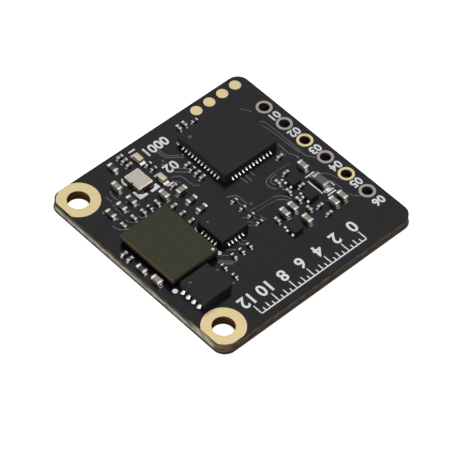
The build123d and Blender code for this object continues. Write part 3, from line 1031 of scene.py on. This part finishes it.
def ink_arc(cx, cy, radius, line, start, end, steps=10):
    """Part of a ring, between two angles in degrees."""
    turns = [math.radians(start + (end - start) * n / steps) for n in range(steps + 1)]
    outer = on_circle(cx, cy, radius + line / 2, turns)
    inner = on_circle(cx, cy, radius - line / 2, turns)
    ink_outline(outer + inner[::-1])


# %% A helper that writes numbers
# The height of a digit is this share of the font's size.
digit_share = 0.7
stroke_widening = 0.035 * mm


def ink_number(digits, cx, cy, height):
    """Plain digits, centred on a place and turned to read from the far side."""
    letters = bpy.data.curves.new("digits", "FONT")
    letters.body = digits
    letters.size = height * mm / digit_share
    letters.align_x = "CENTER"
    letters.align_y = "CENTER"
    letters.offset = stroke_widening
    letters.extrude = ink_height / 2
    letters.resolution_u = 3
    maker = add_object("digits", letters)
    depsgraph = bpy.context.evaluated_depsgraph_get()
    flat = bpy.data.meshes.new_from_object(maker.evaluated_get(depsgraph))
    bpy.data.objects.remove(maker)
    half_turn = Matrix.Rotation(math.pi, 4, "Z")
    middle = (cx * mm, cy * mm, board_top + ink_height / 2)
    flat.transform(Matrix.Translation(middle) @ half_turn)
    ink.from_mesh(flat)


# %% Dots, arcs and bars
memory_dot = (-9.76, -3.67, 0.24)
radar_dot = (-4.31, -3.08, 0.22)
regulator_dots = ((5.17, -0.72, 0.12), (5.30, -2.87, 0.12), (1.75, -4.69, 0.12))
for cx, cy, radius in (memory_dot, radar_dot, *regulator_dots):
    ink_dot(cx, cy, radius)

processor_x, processor_y = 1.50, 8.05
interface_x, interface_y = -3.90, -0.05
ink_arc(processor_x, processor_y, radius=0.25, line=0.12, start=80, end=200)
ink_arc(interface_x, interface_y, radius=0.22, line=0.10, start=100, end=220)

half_lamp_bar = 0.08
for cy in (10.10, 5.18):
    ink_bar(-2.60, cy - half_lamp_bar, -1.90, cy + half_lamp_bar)

half_bracket = 0.065
for x0, y0, x1, y1 in (
    (6.70, -4.02, 6.70, -2.33),
    (6.88, -1.84, 7.78, -1.84),
    (6.97, -4.24, 7.78, -4.24),
    (6.97, -4.24, 6.97, -3.98),
    (8.10, -4.02, 8.10, -3.52),
    (6.96, -4.52, 7.76, -4.52),
):
    ink_bar(x0 - half_bracket, y0 - half_bracket, x1 + half_bracket, y1 + half_bracket)

crystal_corner_mark = [
    (-5.31, 5.54), (-4.37, 5.54), (-4.43, 5.82), (-4.80, 5.86), (-5.07, 6.12), (-5.09, 6.55),
    (-5.31, 6.55),
]
crystal_end_mark = [
    (-4.02, 5.50), (-3.11, 5.50), (-3.11, 6.05), (-3.30, 6.05), (-3.50, 5.84), (-3.75, 5.76),
    (-4.02, 5.76),
]
crystal_curved_mark = [
    (-5.01, 8.35), (-5.23, 8.03), (-5.31, 7.71), (-5.20, 7.43), (-5.05, 7.50), (-5.05, 7.96),
    (-4.90, 8.25),
]
for mark in (crystal_corner_mark, crystal_end_mark, crystal_curved_mark):
    ink_outline(mark)
print("ink faces", len(ink.faces))

# %% Numbers
pin_number_x = 9.7
pin_number_places = [5.07, 2.57, -0.02, -2.52, -5.02, -7.71]
pin_number_height = 0.8
lamp_number_height = 0.95
for number, cy in enumerate(pin_number_places, start=1):
    ink_number("%02d" % number, pin_number_x, cy, pin_number_height)
ink_number("0001", -0.39, 9.22, lamp_number_height)
ink_number("02", -0.92, 6.63, lamp_number_height)
print("ink faces", len(ink.faces))

# %% [markdown]
# ## Dimples
#
# Each moulded chip has a shallow round dimple beside pin one, which the solid model holds.
# The pin of the mould leaves its floor smoother than the rest, so it reads as a paler dot: the
# smoothness is real, and the paler colour is a painted sheen.
# The solid keeps one finish, and a thin disc at the dimple's floor has the smoother one.

# %% Dimple floors
dimple_depth = 0.03 * mm
dimple_floor_thickness = 0.01 * mm


def bmesh_piece(name, shape, material):
    """A piece from a bmesh, in one finish."""
    mesh = bpy.data.meshes.new(name)
    shape.to_mesh(mesh)
    shape.free()
    mesh.materials.append(material)
    return add_object(name, mesh)


smooth_sheen_mould = finish("smooth_sheen_mould", (0.085, 0.085, 0.08), 0.35)
dimple_floors = bmesh.new()
for body, inset, radius in (
    ("processor_body", 0.75, 0.19),
    ("interface_chip_body", 0.58, 0.14),
    ("memory_chip_body", 0.58, 0.14),
):
    low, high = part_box(body)
    dimple_place = (low.x + inset * mm, high.y - inset * mm, high.z - dimple_depth)
    bmesh.ops.create_cone(
        dimple_floors,
        cap_ends=True,
        segments=20,
        radius1=radius * mm,
        radius2=radius * mm,
        depth=dimple_floor_thickness,
        matrix=Matrix.Translation(dimple_place),
    )
dimple_piece = bmesh_piece("dimple_floors", dimple_floors, smooth_sheen_mould)
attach(dimple_piece, "root")
print("three dimple floors")

# %% [markdown]
# ## A scale along the edge
#
# The wide field along the nearest edge is printed with a plain millimetre scale. Its marks
# repeat, so a tree makes one mark and puts it on every seat. Marks with a number are longest
# and half marks shortest, so the eye can count them.

# %% The tick tree
tick_tree = Tree("scale_tick", "Width", "Length", "Height")
tick_width, tick_length, tick_height = tick_tree.sizes
tick_size = tick_tree.combine(tick_length, tick_width, tick_height)
tick = tick_tree.add("GeometryNodeMeshCube", tick_size, 2, 2, 2)
tick_lift = tick_tree.combine(tick_length / -2, 0, tick_height / 2)
tick_tree.place_on_seats(tick_tree.add("GeometryNodeTransform", Geometry=tick, Translation=tick_lift))
print("tree", tick_tree.group.name, "has", len(tick_tree.group.nodes), "nodes")

# %% Ticks and numbers of the scale
scale_start = 6.0
scale_length = 12
scale_y = -10.0
scale_line = 0.12
scale_number_y = scale_y + 1.75
scale_number_height = 1.15
number_every = 2


def scale_ticks(name, distances, length):
    """Ticks of one length, which rise from the scale's line."""
    seats = [
        (Vector(((scale_start - distance) * mm, scale_y * mm, board_top)), -math.pi / 2)
        for distance in distances
    ]
    sizes = {"Width": scale_line * mm, "Length": length * mm, "Height": ink_height}
    piece = run_tree(name, tick_tree, seat_mesh(name, seats), sizes, finishes["printing_ink"])
    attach(piece, "root")
    print(name, len(seats), "ticks")


millimetres = range(scale_length + 1)
numbered = [n for n in millimetres if n % number_every == 0]
scale_ticks("scale_half_ticks", [n + 0.5 for n in range(scale_length)], 0.35)
scale_ticks("scale_short_ticks", [n for n in millimetres if n not in numbered], 0.6)
scale_ticks("scale_long_ticks", numbered, 0.95)
for n in numbered:
    ink_number(str(n), scale_start - n, scale_number_y, scale_number_height)
ink_bar(scale_start - scale_length, scale_y - scale_line, scale_start, scale_y)

# %% Finish the printed piece
bmesh.ops.recalc_face_normals(ink, faces=ink.faces)
printed_marks = bmesh_piece("printed_marks", ink, finishes["printing_ink"])
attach(printed_marks, "root")
print("printed marks", len(printed_marks.data.polygons), "faces")

# %% [markdown]
# ## The floor
#
# A pale floor catches a soft shadow. It adds light of its own only for the camera and for
# reflections, so it reads as white paper without lighting the object any more. It lies a
# trace lower than the board's lands, because two faces at one height would flicker.

# %% Floor
floor_side = 3.0
half_floor = floor_side / 2
floor_z = -0.005 * mm
floor_corners = [
    (-half_floor, -half_floor, floor_z), (half_floor, -half_floor, floor_z),
    (half_floor, half_floor, floor_z), (-half_floor, half_floor, floor_z),
]
floor_mesh = bpy.data.meshes.new("floor")
floor_mesh.from_pydata(floor_corners, [], [(0, 1, 2, 3)])
floor_paper = bpy.data.materials.new("floor_paper")
floor_paper.use_nodes = True
floor_tree = floor_paper.node_tree
paper = floor_tree.nodes["Principled BSDF"]
paper.inputs["Roughness"].default_value = 0.9
paper.inputs["Specular IOR Level"].default_value = 0.0
paper.inputs["Emission Color"].default_value = (1, 1, 1, 1)
floor_mesh.materials.append(floor_paper)
floor = add_object("floor", floor_mesh)
floor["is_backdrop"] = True
bpy.context.scene.view_settings.view_transform = "Standard"
print("floor", floor_side, "m wide")

# %% [markdown]
# The paper has a painted shadow, a thin dark line where the board lies on it, which is what makes the
# board look heavy. It has painted shade under the header row too, because those holes are too narrow
# and deep to show lit paper. The distance to the board's outline is the distance to a smaller block
# with the corner radius taken off.

# %% Where the paper has painted shadow
contact_reach = 0.17 * mm
contact_start = 0.3 * contact_reach
contact_light = 0.05
header_x = 9.7 * mm
half_header_width = 1.0 * mm
half_header_length = 8.5 * mm

floor_place = value_from(floor_tree, "ShaderNodeTexCoord", output="Object")
inner_half = (board_high.x - corner_radius, board_high.y - corner_radius, 0)
beyond = calculate("MAXIMUM", abs(floor_place * (1, 1, 0)) - inner_half, (0, 0, 0))
outline_distance = calculate("LENGTH", beyond) - corner_radius
contact = remap(outline_distance, contact_start, contact_reach, contact_light, 1, smooth=True)
under_board = calculate("LESS_THAN", outline_distance, -contact_reach)

floor_x, floor_y = parts_of(floor_place)[:2]
in_header_strip = calculate("COMPARE", floor_x, header_x, half_header_width)
in_header_length = calculate("COMPARE", floor_y, 0, half_header_length)
away_from_header = 1 - in_header_strip * in_header_length
print("contact line", round(contact_reach / mm, 2), "mm wide")

# %% The light of the paper
paper_colour = (0.9, 0.9, 0.9)
paper_glow = 0.75

# Painted shadow: the paper's glow and colour are dimmed along the contact line and under the header
# row.
lit_from_above = calculate("MAXIMUM", contact, under_board) * away_from_header
from_behind = value_from(floor_tree, "ShaderNodeNewGeometry", output="Backfacing")
lit_paper = calculate("MAXIMUM", lit_from_above, from_behind)
seen = calculate("MAXIMUM", ray(floor_tree, "Is Camera Ray"), ray(floor_tree, "Is Glossy Ray"))
feed(paper.inputs["Emission Strength"], seen * lit_paper * paper_glow)
feed(paper.inputs["Base Color"], scaled(paper_colour, lit_paper))
print("floor nodes", len(floor_tree.nodes))

# %% [markdown]
# ## Last measurements
#
# The dressed object's size is printed at the end, as the solid model's was at the start.
# The dressed object must stay in the solid model's box.

# %% Write the sizes and finish
dressed_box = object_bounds()
print("dressed model:", in_mm(dressed_box[1] - dressed_box[0]), "mm")
